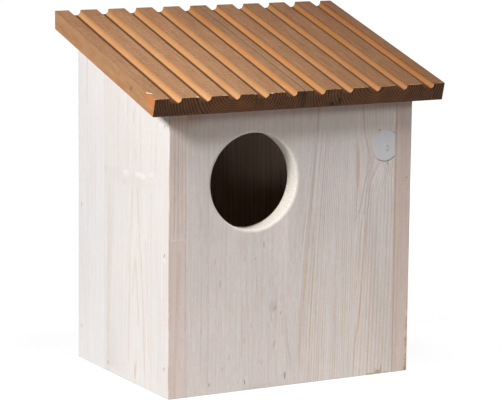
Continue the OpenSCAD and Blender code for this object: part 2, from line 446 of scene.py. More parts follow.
def glaze(b, grain, tone, ring, streak, dash, sharp=3.0, waver=2.0, warmth=0.3, beige_foot=False,
          lines=(), warm=(), knots=(), dark=(), ochre=(), light=()):
    """Colour and height of white-glazed spruce, whose rings and fibres show faintly through."""
    late = rings(b, grain, waver, sharp)
    fibre = b.streaks(0.9, 36, 3)
    stripe = b.streaks(3.2, 110, 2, 9.1)
    dashes = b.streaks(1.1, 8, 2, 4.3)
    mottle = b.streaks(2.4, 18, 2, 2.9)
    colour = b.vary(tone, ((fibre, streak), (stripe, streak), (dashes, dash), (mottle, dash * 0.9),
                           (b.specks(45), 0.06), (b.specks(1.2, 1), 0.14)), 1, 1.08, 1.16)
    ring_tint = RING_TINT
    if beige_foot:
        ring_tint = b.mix(b.ramp(b.v, 90, 180), BEIGE_TINT, GREY_TINT)
        late = b.times(late, b.ramp(b.v, 205, 232, 1, 0.45))
    warm_streaks = b.ramp(b.streaks(1.7, 60, 2, 6.6), 0.45, 0.75, 0, warmth)
    # The knots list also carries painted shade: the warm dark spot under the eave at the front's
    # top left corner
    # The light list also carries a painted highlight: the thin line along the front's seam with the
    # left side panel
    colour = b.tint(colour, (b.times(late, ring), ring_tint), (warm_streaks, WARM_TINT),
                    (b.lines(lines), LINE_TINT), (b.spots(warm), LINE_TINT),
                    (b.spots(knots), KNOT_AND_SHADE_TINT), (b.spots(dark), DARK_TINT),
                    (b.ragged_spots(ochre), OCHRE_TINT), (b.spots(light), PALE_AND_HIGHLIGHT_TINT))
    return colour, b.times_plus(late, 0.5, b.times(fibre, 0.5))


def bare(b, grain):
    """Colour of planed spruce without glaze."""
    colour = b.mix(rings(b, grain, 2, 4), BARE_LIGHT, BARE_DARK)
    return b.scale(colour, b.sway(b.streaks(4, 120, 2, 3.7), 0.5))


def bored(b, colour, height):
    """Looks of the front with the entrance's sawn wall, which the glaze only half covers."""
    wall = b.times(b.ramp(b.reach(HOLE_U, HOLE_V), HOLE_R + 1.4, HOLE_R + 0.7),
                   b.ramp(b.w, 0.4, 1.6))
    speck = b.specks(1.2)
    rough = b.scale(BORE_WHITE, b.sway(speck, 0.9))
    rough = b.tint(rough, (b.ramp(b.w, WALL - 2, WALL - 0.4), BORE_TINT))
    height = b.times_plus(wall, b.minus(b.times(speck, 2), height), height)
    return b.mix(wall, colour, rough), height


def finger_mark(b, root, start):
    """Fine zigzag line of a finger joint on a side panel's face."""
    step = b.math("FRACT", b.over(b.minus(b.u, start), FINGER_STEP))
    peak = b.math("ABSOLUTE", b.times_plus(step, 2, -1))
    line = b.times_plus(peak, -FINGER_LEN, root + FINGER_LEN)
    return b.ramp(b.away(b.v, line), 2.6, 1)


def edged(b, colour, looks):
    """Colour of a side's stave with its edge that shows at the front, worn along the arris."""
    edge_colour = glaze(b.seen(b.w, b.v, b.u), **looks)[0]
    colour = b.mix(b.ramp(b.u, DEPTH - 0.7, DEPTH - 0.3), colour, edge_colour)
    worn = b.times(b.ramp(b.u, DEPTH - 1.1, DEPTH - 0.6), b.ramp(b.w, 1.1, 0.6),
                   b.ramp(b.streaks(6, 24, 2, 1.3), 0.4, 0.55))
    return b.tint(colour, (worn, ARRIS_TINT))


def glazed_wood(name, axes, grain, tone=SIDE_GLAZE, edge=None, finger=None, **looks):
    """Glazed panel stave. edge holds the looks of its edge that shows at the front, and
    finger the place of its finger joint."""
    b = Board(name, axes)
    colour, height = glaze(b, grain, tone, **looks)
    if axes is front_axes:
        # Painted shade: the front is darkened and warmed towards the eave, a little from 224 mm up
        # and more from 250 mm up, where the roof shades it
        colour = b.tint(colour, (b.ramp(b.v, 224, 240), NEAR_EAVE_SHADE_TINT),
                        (b.ramp(b.v, 250, 260), EAVE_SHADE_TINT))
        colour, height = bored(b, colour, height)
    if finger:
        colour = b.tint(colour, (finger_mark(b, *finger), FINGER_TINT))
    if edge:
        colour = edged(b, colour, edge)
    colour = b.mix(b.ramp(b.w, WALL - 0.3, WALL), colour, bare(b, grain))
    return b.surface(colour, GLAZE_ROUGHNESS, height, GLAZE_RELIEF)


def bare_wood(name, axes, grain):
    """Planed spruce without glaze."""
    b = Board(name, axes)
    return b.surface(bare(b, grain), BARE_ROUGHNESS, b.streaks(0.9, 40, 3), BARE_RELIEF)


# ---- Roof boards ----

TOP_LEFT = linear(150, 110, 77)
TOP_RIGHT = linear(113, 75, 43)
GROOVE_LEFT = linear(183, 135, 90)
GROOVE_RIGHT = linear(155, 106, 64)
CREAM = linear(226, 190, 142)
CHIP_WHITE = linear(228, 216, 200)
END_DARK = linear(50, 29, 14)
END_LIGHT = linear(110, 72, 44)
RAKE_TAN = linear(169, 126, 89)
UNDERSIDE = linear(120, 84, 58)

TOP_RUST_TINT = (1.03, 0.96, 0.90)
TOP_GREY_TINT = (0.94, 1, 1.05)
TOP_DARK_TINT = (0.90, 0.90, 0.92)
TOP_CORNER_TINT = (0.97, 0.95, 0.87)
JOINT_TINT = (0.55, 0.50, 0.46)
GROOVE_MIDDLE_TINT = (1.06, 1, 0.88)
GROOVE_DARK_TINT = (0.88, 0.86, 0.86)
GROOVE_FLOOR_SHADE_TINT = (0.24, 0.17, 0.10)
GROOVE_MOUTH_SHADE_TINT = (0.45, 0.40, 0.36)
ORANGE_TINT = (1.06, 0.84, 0.62)
RESIN_TINT = (0.98, 0.86, 0.50)
RED_TINT = (1, 0.95, 0.88)
END_PALE_TINT = (1.2, 1.17, 1.14)
END_STAIN_TINT = (0.30, 0.32, 0.36)
END_PIT_TINT = (0.02, 0.03, 0.04)
RAKE_FOOT_HIGHLIGHT_TINT = (1.28, 1.08, 0.80)
RAKE_SMEAR_TINT = (0.97, 0.84, 0.72)
RAKE_FRESH_TINT = (1.28, 0.88, 0.56)
RAKE_KNOT_TINT = (0.56, 0.56, 0.52)
RAKE_HEART_TINT = (0.45, 0.42, 0.40)

ROOF_RELIEF = 0.3
ROOF_SPECULAR = 0.24


def dark_patch(b):
    """Mask of the darker wood at the back, near the boards' joint."""
    return b.times(b.band(b.u, (112, 124), (168, 158)), b.ramp(b.v, 135, 165))


def inside_groove(b):
    """Distance to the right of the nearest groove's left mouth, from -1 upwards."""
    step = b.math("FRACT", b.over(b.minus(b.u, GROOVE_MARGIN - 1), GROOVE_STEP))
    return b.times_plus(step, GROOVE_STEP, -1)


def roof_top(b, saw):
    """Colour of the sawn ridge tops, darker to the right and to the back."""
    colour = b.mix(b.ramp(b.u, 70, ROOF_W, kind="LINEAR"), TOP_LEFT, TOP_RIGHT)
    colour = b.scale(colour, b.ramp(b.u, 0, 70, 0.9, 1))
    parts = ((b.streaks(5, 90, 2, 4.4), 0.45), (b.specks(38, 3), 0.25), (saw, 0.55),
             (b.streaks(0.9, 30, 3), 0.7), (b.streaks(0.8, 5), 0.6), (b.specks(1.1), 0.5))
    colour = b.vary(colour, parts, b.ramp(b.v, 40, 215, 1, 0.87), 1.4, 1.9)
    rust = b.ramp(b.streaks(6, 50, 2, 1.9), 0.45, 0.7, 0, 0.6)
    grey = b.band(b.u, (BOARD_JOINT - 9, BOARD_JOINT - 7), (BOARD_JOINT + 6, BOARD_JOINT + 4))
    corner = b.times(b.ramp(b.v, 50, 5), b.ramp(b.u, 170, 200))
    joint = b.ramp(b.away(b.u, BOARD_JOINT), 0.9, 0.2)
    return b.tint(colour, (rust, TOP_RUST_TINT), (grey, TOP_GREY_TINT),
                  (dark_patch(b), TOP_DARK_TINT), (corner, TOP_CORNER_TINT), (joint, JOINT_TINT))


def roof_groove(b):
    """Colour of the planed grooves: orange walls over a floor darkened with painted shade, where
    the ridge to its left shades it.
    """
    colour = b.mix(b.ramp(b.u, 60, ROOF_W - 10, kind="LINEAR"), GROOVE_LEFT, GROOVE_RIGHT)
    chatter = b.noise(b.vector(b.times(b.u, 0.1), b.times(b.v, 0.75)), 1)
    parts = ((chatter, 0.14), (b.streaks(3, 70, 2, 2.2), 0.25),
             (b.streaks(0.8, 12, 2, 8.8), 0.16))
    start = b.times(b.ramp(b.v, 60, 210, 1, 0.92), b.ramp(b.v, 30, -5, 1, 1.09))
    colour = b.vary(colour, parts, start, 1.2, 1.5)
    middle = b.band(b.u, (138, 146), (184, 176))
    fresh = b.noise(b.vector(b.over(b.u, 60), b.over(b.v, 70), 3.3), 1)
    orange = b.times(b.ramp(b.w, 3.2, 1.4), b.ramp(fresh, 0.45, 0.62, 0, 0.55))
    resin = b.spots([(261, 150, 3.5, 75, 0.8)])
    # Painted shade on each groove's floor, and more of it at the floor's front end
    floor = b.ramp(inside_groove(b), 9.8, 7.8)
    mouth = b.times(floor, b.ramp(b.v, 8 - FRONT_OVERHANG, 1 - FRONT_OVERHANG))
    return b.tint(colour, (middle, GROOVE_MIDDLE_TINT), (dark_patch(b), GROOVE_DARK_TINT),
                  (orange, ORANGE_TINT), (resin, RESIN_TINT), (b.ramp(b.u, 280, 282), RED_TINT),
                  (floor, GROOVE_FLOOR_SHADE_TINT), (mouth, GROOVE_MOUTH_SHADE_TINT))


def roof_end(b, pith):
    """Colour of the dark end grain, whose rings are fainter near the pith."""
    late = b.ramp(rings(b, end_grain(pith), 3.2, 2.2, 0.6), 0.06, 0.5)
    late = b.times(late, b.ramp(b.away(b.u, pith), 10, 40, 0.6, 1))
    blotch = b.noise(b.vector(b.over(b.u, 14), 0, b.over(b.w, 9)))
    colour = b.vary(b.mix(late, END_LIGHT, END_DARK), ((blotch, 1.2), (b.specks(1.3), 0.35)))
    colour = b.scale(colour, b.times(b.ramp(b.u, 0, 34, 0.78, 1),
                                     b.ramp(b.u, 262, 300, 1, 0.82)))
    end = b.seen(b.u, b.w, b.v)
    pits = end.spots([(184.3, 14.2, 3.4, 1.9, 1), (192.2, 11.8, 2.1, 3.4, 1)])
    return b.tint(colour, (end.spots([(86, 8, 30, 12, 0.8)]), END_PALE_TINT),
                  (end.spots([(BOARD_JOINT - 1, 8, 3.5, 11, 0.75)]), END_STAIN_TINT),
                  (pits, END_PIT_TINT))


def rake_wood(b, fibre):
    """Colour of the roof's planed side edges. The fresh wood and the knot are on the left one."""
    edge = b.seen(b.w, b.v, b.u)
    patches = b.noise(b.vector(b.over(b.w, 7), b.over(b.v, 24)), 3)
    parts = ((patches, 0.55), (fibre, 0.22), (edge.streaks(1.2, 30, 2, 6.1), 0.3),
             (b.specks(1.5), 0.35))
    colour = b.vary(RAKE_TAN, parts, 1, 1.25, 1.5)
    # Painted highlight: a light orange band along the rake's lower arris
    foot = b.ramp(b.w, ROOF_T - 1.8, ROOF_T - 0.7)
    smears = edge.spots([(13, 52, 4, 13, 0.7), (6, 120, 3, 30, 0.3)])
    left = b.math("LESS_THAN", b.u, ROOF_W / 2)
    fresh = edge.spots([(3.2, -5, 4, 14, 1), (8, -10, 4.5, 8, 1), (13, -13, 5, 4, 1)])
    knot = edge.spots([(9, 33, 2.6, 2.6, 0.8)])
    heart = edge.spots([(9.3, 32.6, 1, 0.9, 0.9)])
    return b.tint(colour, (foot, RAKE_FOOT_HIGHLIGHT_TINT), (smears, RAKE_SMEAR_TINT),
                  (b.times(fresh, left), RAKE_FRESH_TINT), (b.times(knot, left), RAKE_KNOT_TINT),
                  (b.times(heart, left), RAKE_HEART_TINT))


def roof_wood(name, pith, lip):
    """Heat-treated pine. lip is the depth by which the sawn top has turned into planed groove."""
    b = Board(name, roof_axes)
    normal = b.node("ShaderNodeNewGeometry").outputs["Normal"]
    up_slope = (0, math.cos(PITCH), math.sin(PITCH))
    along = b.vector_math("DOT_PRODUCT", normal, up_slope, output="Value")
    at_end = b.ramp(b.math("ABSOLUTE", along), 0.6, 0.8)
    sideways = b.ramp(b.math("ABSOLUTE", b.split(normal)[0]), 0.9, 0.99)
    at_rake = b.times(sideways, b.math("GREATER_THAN", b.away(b.u, ROOF_W / 2), ROOF_W / 2 - 1))
    at_front = b.ramp(b.v, 0.9 - FRONT_OVERHANG, 0.3 - FRONT_OVERHANG)
    groove_place = inside_groove(b)
    planed = b.times(b.ramp(b.w, 0.05, lip),
                     b.ramp(b.away(groove_place, GROOVE_W / 2), GROOVE_W / 2 + 0.3, GROOVE_W / 2))
    saw = b.noise(b.vector(b.over(b.times_plus(b.u, 0.35, b.v), 1.2), b.over(b.u, 9)))
    fibre = b.streaks(0.9, 22, 3)

    top = roof_top(b, saw)
    worn_front = b.times(at_front, b.ramp(b.streaks(2.5, 40, 2, 2.7), 0.42, 0.6, 0, 0.8))
    splinters = b.spots([(119, -14.5, 2.2, 1, 0.9), (43, -14, 1.8, 1.4, 0.8)])
    chip = b.spots([(1.8, 0.8, 1.1, 4.4, 0.95, -28)])
    for mask, fresh in ((worn_front, CREAM), (splinters, CREAM), (chip, CHIP_WHITE)):
        top = b.mix(mask, top, fresh)
    # Painted highlight: cream at the front end of each groove's lit right wall
    groove_end_highlight = b.times(at_front, b.ramp(groove_place, 9.6, 11, 0, 0.5))
    colour = b.mix(planed, top, b.mix(groove_end_highlight, roof_groove(b), CREAM))
    colour = b.mix(at_rake, colour, rake_wood(b, fibre))
    colour = b.mix(b.ramp(b.w, ROOF_T - 0.6, ROOF_T - 0.1), colour, UNDERSIDE)
    colour = b.mix(at_end, colour, roof_end(b, pith))
    height = b.times_plus(saw, 0.6, b.times(fibre, 0.4))
    roughness = b.ramp(fibre, 0.3, 0.7, 0.62, 0.78)
    return b.surface(colour, roughness, height, ROOF_RELIEF, ROOF_SPECULAR)


# ---- Meshes ----

SHARP = 20             # degrees between faces from which an edge stays sharp
TOUCH = 0.02           # how close a vertex has to lie to a line or face to be on it
EDGE_ROUND = 0.8       # bevel of the box's outer edges
SEAM_ROUND = 0.3       # bevel beside the butt joints of two panels
RIM_ROUND = 1.3        # bevel of the entrance's outer edge

# Edges of the box, each given by the axes that it crosses and its places on them
X, Y, Z = range(3)
UPRIGHT_EDGES = [((X, x), (Y, y)) for x in (LEFT, RIGHT) for y in (FRONT, BACK)]
FOOT_EDGES = [((X, x), (Z, 0)) for x in (LEFT, RIGHT)]
FOOT_EDGES += [((Y, y), (Z, 0)) for y in (FRONT, BACK)]
SEAMS = [((X, x), (Y, y)) for x in (INNER_LEFT, INNER_RIGHT) for y in (FRONT, BACK)]


def add_object(name, data):
    made = bpy.data.objects.new(name, data)
    bpy.context.scene.collection.objects.link(made)
    return made


def add_piece(node, bm, material):
    """Turns a bmesh in millimetres into the piece that replaces a node."""
    for vert in bm.verts:
        vert.co *= MM
    bmesh.ops.recalc_face_normals(bm, faces=bm.faces)
    mesh = bpy.data.meshes.new(node + "_wood")
    bm.to_mesh(mesh)
    bm.free()
    mesh.shade_smooth()
    mesh.set_sharp_from_angle(angle=math.radians(SHARP))
    mesh.materials.append(material)
    piece = add_object(node + "_wood", mesh)
    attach(piece, "root")
    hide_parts(node)


def join_loops(bm, loops):
    """Faces between each loop of vertices and the next one."""
    for near, far in zip(loops, loops[1:]):
        for i in range(len(near)):
            j = (i + 1) % len(near)
            bm.faces.new([near[i], near[j], far[j], far[i]])


def bevel(bm, edges, width, segments):
    if edges:
        bmesh.ops.bevel(bm, geom=edges, offset=width, segments=segments, profile=0.5,
                        affect="EDGES", clamp_overlap=True)


def on_lines(vert, lines):
    """The lines of a list that a vertex lies on."""
    return {line for line in lines
            if all(abs(vert.co[axis] - value) < TOUCH for axis, value in line)}


def on_rim(place):
    """Whether a place lies on the front edge of the entrance."""
    away = math.dist((place.x, place.z), (LEFT + HOLE_U, HOLE_V))
    return abs(place.y - FRONT) < TOUCH and abs(away - HOLE_R) < 5 * TOUCH


def eased_panel(node, material):
    """Copy of a panel's stave with its outer edges rounded, as sanding leaves them."""
    bm = bmesh.new()
    bm.from_mesh(NODES[node].data)
    for vert in bm.verts:
        vert.co /= MM
    bmesh.ops.remove_doubles(bm, verts=bm.verts, dist=0.001)
    bmesh.ops.dissolve_limit(bm, angle_limit=math.radians(0.2), verts=bm.verts, edges=bm.edges)
    for lines, width in ((UPRIGHT_EDGES + FOOT_EDGES, EDGE_ROUND), (SEAMS, SEAM_ROUND)):
        on = [e for e in bm.edges if on_lines(e.verts[0], lines) & on_lines(e.verts[1], lines)]
        bevel(bm, on, width, 2)
    bevel(bm, [e for e in bm.edges if all(on_rim(vert.co) for vert in e.verts)], RIM_ROUND, 3)
    add_piece(node, bm, material)


def arc(centre, radius, start, end, steps):
    """Points of an arc, with angles in degrees."""
    for i in range(steps + 1):
        angle = math.radians(start + (end - start) * i / steps)
        yield centre[0] + radius * math.cos(angle), centre[1] + radius * math.sin(angle)


RIDGE_ROUND = 0.35
RIDGE_STEPS = 2        # faces of the ridges' rounding
COVE_STEPS = 6         # faces of each round of a groove's floor
TOP_STEP = 2.0         # width of the faces across a ridge's top


def along_top(x0, x1):
    count = max(1, round((x1 - x0) / TOP_STEP))
    return [(x0 + (x1 - x0) * i / count, ROOF_T) for i in range(1, count)]


def roof_top_line(x0, x1, grooves):
    """Upper line of a roof board's cross-section, from left to right."""
    e, cove = RIDGE_ROUND, GROOVE_ROUND
    low = ROOF_T - GROOVE_DEPTH + cove
    top = list(arc((x0 + e, ROOF_T - e), e, 180, 90, RIDGE_STEPS))
    for i in grooves:
        mouth = GROOVE_MARGIN + i * GROOVE_STEP
        far = mouth + GROOVE_W
        top += along_top(top[-1][0], mouth - e)
        top += arc((mouth - e, ROOF_T - e), e, 90, 0, RIDGE_STEPS)
        top += arc((mouth + cove, low), cove, 180, 270, COVE_STEPS)
        top += arc((far - cove, low), cove, 270, 360, COVE_STEPS)
        top += arc((far + e, ROOF_T - e), e, 180, 90, RIDGE_STEPS)
    top += along_top(top[-1][0], x1 - e)
    return top + list(arc((x1 - e, ROOF_T - e), e, 90, 0, RIDGE_STEPS))


def underside_line(top):
    """Lower line of the cross-section, with one point below each place of the upper line, and
    for each upper point the number of the lower point below it."""
    x0, x1 = top[0][0], top[-1][0]
    line, below = [], []
    for x, h in top:
        if not line or x - line[-1][0] > 1e-6:
            line.append((x, max(0, RIDGE_ROUND - (x - x0), RIDGE_ROUND - (x1 - x))))
        below.append(len(line) - 1)
    return line, below


# Cross-sections of a board, counted from its front end: the first ones, and then their step
FIRST_STATIONS = (0, 0.5, 1.1, 2)
STATION_STEP = 3.0
LAST_STATION = 0.5     # from the last full one to the end, which is cut upright

SAWN_WAVE = 0.12       # unevenness of the ridges' tops
BITTEN_LEN = 2.0       # how far from the front end the splinters reach
BITTEN_BACK = 0.9
BITTEN_DOWN = 0.5

# Places where the wood is broken away: x, up the slope from the front face, height, radius, depth
DENTS = [
    (0, 3, 17, 5, 1.3),
    (43, -15, 17, 2.2, 0.8),
    (119, -15, 17, 2.6, 1),
    (101, -15, 17, 2, 0.7),
    (149, 200, 17, 4, 1.2),
    (240, -15, 17, 2.4, 0.8),
]


def ragged(x, y, h):
    """A board's point with the small unevenness of sawn edges and chipped ends."""
    near_end = max(0, 1 - (y + FRONT_OVERHANG) / BITTEN_LEN)
    if h > ROOF_T - 1 and near_end > 0:
        bite = max(0, noise.noise(Vector((x * 0.45, 3.1, 0))) + 0.15)
        y += BITTEN_BACK * bite * near_end
        h -= BITTEN_DOWN * bite * near_end
    if h > ROOF_T - 1:
        h -= SAWN_WAVE * abs(noise.noise(Vector((x * 0.3, y * 0.25, 8))))
    for dent_x, dent_y, dent_h, radius, depth in DENTS:
        away = math.dist((x, y, h), (dent_x, dent_y, dent_h))
        if away < radius:
            h -= depth * (1 - away / radius)
    return x, y, h


def on_roof(x, y, h):
    """Point of the roof's own frame, in the house's frame."""
    return Vector((ROOF_LEFT + x,
                   FRONT + y * math.cos(PITCH) - h * math.sin(PITCH),
                   EAVE_Z + y * math.sin(PITCH) + h * math.cos(PITCH)))


def roof_board(node, x0, x1, grooves, material):
    top = roof_top_line(x0, x1, grooves)
    under, below = underside_line(top)
    outline = top + under[::-1]
    stations = [d - FRONT_OVERHANG for d in FIRST_STATIONS]
    room = SLOPE_LEN - stations[-1]
    count = round(room / STATION_STEP)
    step = (room - LAST_STATION) / count
    stations += [stations[-1] + step * i for i in range(1, count + 1)]
    bm = bmesh.new()
    loops = [[bm.verts.new(on_roof(*ragged(x, y, h))) for x, h in outline] for y in stations]
    loops.append([bm.verts.new(on_roof(x, SLOPE_LEN + h * math.tan(PITCH), h))
                  for x, h in outline])
    join_loops(bm, loops)
    for loop in (loops[0], loops[-1]):
        lower = loop[:len(top) - 1:-1]
        for i, (a, b) in enumerate(zip(below, below[1:])):
            if a != b:
                bm.faces.new([loop[i], loop[i + 1], lower[b], lower[a]])
            elif (loop[i].co - loop[i + 1].co).cross(lower[a].co - loop[i].co).length > 1e-3:
                bm.faces.new([loop[i], loop[i + 1], lower[a]])
    add_piece(node, bm, material)


# ---- The house ----

def panel(node, axes, grain, **looks):
    """Dresses one of the box's staves. Lines and spots are given in millimetres, from the
    front's left edge or the side's back edge, and from the base up."""
    eased_panel(node, glazed_wood(node, axes, grain, **looks))


LEANING = dict(ring=1, sharp=1.7, waver=0.5, streak=0.14, dash=0.16, warmth=0.5, beige_foot=True)

panel(
    "front_stave_1", front_axes, straight_grain(4.6), tone=FRONT_GLAZE, ring=0.25, streak=0.17,
    dash=0.16, warmth=0.7,
    lines=[(0.8, 0.5, [(76, 30), (76.5, 60), (76, 95)]),
           (1.4, 0.5, [(33, 155), (33.3, 166), (33, 176)]),
           (0.6, 0.4, [(40, 5), (40.5, 50), (41, 80)]),
           (0.6, 0.35, [(55, 5), (55.5, 45), (54, 75)]),
           (0.6, 0.35, [(33, 10), (33.5, 60), (34, 145)]),
           (0.6, 0.3, [(25, 70), (26, 100), (27, 135)])],
    dark=[(45, 152, 12, 14, 0.06), (53, 103, 0.8, 4.5, 0.55), (47.5, 124, 0.7, 4, 0.35),
          (42.4, 10, 0.8, 1.8, 0.55), (63, 126, 0.8, 5, 0.3), (39, 128, 0.6, 5, 0.25),
          (52, 65, 0.8, 4, 0.2), (63, 33, 1, 3, 0.3), (56, 23, 0.8, 3, 0.3), (39, 40, 0.7, 4, 0.2),
          # The first light spot, a thin line at u 18.7 along the seam with the side panel, is a
          # painted highlight of the seam's edge
          (72.5, 8, 0.8, 1.6, 0.3)], light=[(18.7, 170, 0.45, 52, 0.9), (45, 72, 0.8, 30, 0.3)],
    # The spot at the top left corner, at (16, 262), is painted shade where the roof's corner shades
    # the front, not a knot
    knots=[(16, 262, 26, 16, 0.35)])
panel(
    "front_stave_2", front_axes, arched_grain(129, 25, -0.032, 4.2), tone=FRONT_GLAZE, ring=0.3,
    streak=0.16, dash=0.18, warmth=0.7,
    lines=[(0.8, 0.5, [(128.5, 25), (125.5, 38), (123.5, 55), (122.5, 70)]),
           (0.7, 0.35, [(127, 14), (122, 40), (119, 60), (117, 90)]),
           (0.7, 0.45, [(112, 55), (112.3, 75), (112, 98)]),
           (0.6, 0.35, [(88, 5), (88, 40), (89, 75)]), (0.6, 0.4, [(90, 75), (91, 105), (90, 125)]),
           (0.6, 0.4, [(104, 5), (105, 30), (106, 60)])],
    dark=[(98.7, 136, 0.9, 4.5, 0.6), (111, 75, 1.6, 4, 0.45, 30), (117.5, 70, 0.8, 2.6, 0.5),
          (108, 77, 4.5, 8, 0.22), (110.5, 41, 1.1, 5, 0.45, 15), (98, 25, 0.8, 4.5, 0.4),
          (86, 61, 0.7, 3.5, 0.5), (108, 65, 0.8, 5, 0.35, -10), (79.6, 7, 0.9, 1.5, 0.75),
          (122.6, 10.3, 1.1, 3.8, 1), (79, 125, 0.8, 3.5, 0.35), (90, 124, 0.8, 2.5, 0.3),
          (78.5, 48, 0.8, 3, 0.2)], light=[(118, 30, 4, 22, 0.15)],
    knots=[(122.6, 10, 0.8, 3, 0.6)])
panel(
    "front_stave_3", front_axes, leaning_grain, tone=linear(235, 225, 221), **LEANING,
    lines=[(1.3, 0.55, [(140.5, -6), (143, 68), (144.7, 102), (147.2, 130), (148.8, 152),
                        (155.5, 262)]),
           (0.9, 0.5, [(138.8, 130), (142.2, 153), (148, 202), (153, 240)]),
           (0.8, 0.6, [(148.8, -6), (149.2, 40), (151.3, 100), (154, 150), (160, 240)]),
           (0.7, 0.6, [(154, -6), (154.5, 40), (156, 100), (159, 160), (165.5, 240)]),
           (0.6, 0.4, [(158.6, -6), (159, 40), (161, 100), (163.5, 160), (169, 250)]),
           (0.6, 0.4, [(176, 5), (176.8, 50), (177, 90)])],
    dark=[(155, 67, 0.8, 2.5, 0.3)])
panel(
    "front_stave_4", front_axes, knotted_grain, tone=linear(239, 228, 224), **LEANING,
    lines=[(1.3, 0.9, [(197, -6), (199.7, 37), (202.2, 53), (204.7, 78), (206.3, 103),
                       (207.7, 125), (209.3, 153)]),
           (0.5, 0.9, [(209.3, 153), (210.8, 162), (211.8, 170), (212.8, 180), (214.6, 188),
                       (218, 195), (221, 201), (224, 206)]),
           (0.8, 0.8, [(197.2, 66), (201.3, 112), (203, 137), (205, 153)]),
           (0.5, 0.9, [(205, 153), (207, 162), (208.4, 170), (209.6, 178), (211.6, 186),
                       (214.6, 193), (218.4, 200), (221, 205)]),
           (1.3, 0.8, [(212.6, 201), (213.4, 207), (211.8, 215), (208.8, 225), (206.3, 235),
                       (204.2, 255), (203.7, 264)]),
           (0.8, 0.85, [(197, 151), (200, 158), (203, 165), (204.2, 172), (206, 182),
                        (208, 190), (210, 196), (212.6, 203)]),
           (0.6, 0.9, [(229.1, 192), (230.9, 195), (232.4, 198), (234.1, 202), (238, 205.5)]),
           (0.6, 0.9, [(231.6, 192), (233.4, 194.3), (235.6, 198), (238.4, 200.5), (241, 202.4)]),
           (0.5, 0.7, [(235, 192.4), (237.7, 195.5), (241, 198)]),
           (0.7, 0.4, [(213, -6), (214.5, 60), (216.3, 140), (217, 180)]),
           (0.7, 0.4, [(217.2, -6), (218, 60), (219.3, 140), (220, 175)])],
    warm=[(198.9, 203, 2.6, 31, 0.95, -2), (226, 2, 5, 3, 0.5)],
    dark=[(231.8, 203.6, 1, 2.5, 0.75), (227, 1.4, 1, 0.9, 0.7), (222.5, 1, 0.8, 0.8, 0.6)],
    light=[(224, 194, 6, 9, 0.5), (215, 187, 1, 8, 0.5, 25)], knots=[(222.2, 236, 1.7, 1.1, 0.9)],
    ochre=[(225, 2.2, 4, 2.4, 1), (228.6, 5, 1, 5, 1), (217, 0.9, 5.5, 1.4, 1),
           (222, 4.5, 0.9, 2.4, 0.8), (234, 1, 3.5, 1.1, 0.8)])

LEFT_EDGE_LOWER = dict(
    grain=straight_grain(6), tone=linear(229, 211, 203), ring=0.3, streak=0.12, dash=0.14,
    lines=[(1.8, 0.35, [(6, -6), (7, 40), (9, 90), (11, 140)]),
           (0.6, 0.5, [(17.2, 60), (17.4, 110), (17.5, 146)])],
    dark=[(2.2, 80, 1.3, 75, 0.10)], light=[(14, 60, 3, 60, 0.25)])
LEFT_EDGE_UPPER = dict(
    grain=straight_grain(3.6), tone=linear(231, 217, 211), ring=0.7, sharp=1.6, waver=0.8,
    streak=0.20, dash=0.14, warmth=0.5,
    lines=[(0.8, 0.6, [(5.2, 150), (5.4, 200), (4.8, 262)]),
           (0.8, 0.5, [(9.4, 150), (9.2, 200), (9.5, 262)]),
           (0.8, 0.6, [(13.4, 150), (13.6, 200), (13.2, 262)]),
           (0.6, 0.8, [(17.3, 148), (17.3, 170), (17.2, 190)])],
    # The spot at (16, 262) is painted shade under the roof's left front corner, carried on from the
    # front stave, not a knot
    knots=[(16, 262, 26, 16, 0.35)], light=[(7, 147.6, 8, 0.8, 0.7)])
RIGHT_EDGE = dict(
    grain=straight_grain(6), tone=linear(220, 202, 192), ring=0.4, streak=0.15, dash=0.16,
    warmth=0.7,
    lines=[(0.9, 0.9, [(16.9, -6), (16.8, 80), (16.9, 160), (17, 268)]),
           (0.8, 0.4, [(12.5, -6), (13, 60), (12.5, 130)]),
           (0.6, 0.3, [(10, 120), (9.4, 180), (9.8, 262)])],
    dark=[(4.4, 188.6, 1.3, 1.3, 0.55)],
    ochre=[(1.6, 10, 1.6, 9, 1), (2.4, 3, 2.4, 3, 1), (1.8, 28, 1.4, 9, 1), (1.4, 46, 1.2, 10, 0.9),
           (1, 66, 0.9, 8, 0.7)],
    light=[(1.2, 21, 0.9, 4, 1), (2.8, 9, 0.9, 3, 1), (2.2, 34, 0.8, 5, 0.9),
           (1.6, 56, 0.7, 5, 0.8)])
FINGERS = (189, 58)          # height of a finger joint's roots, and where its first finger starts

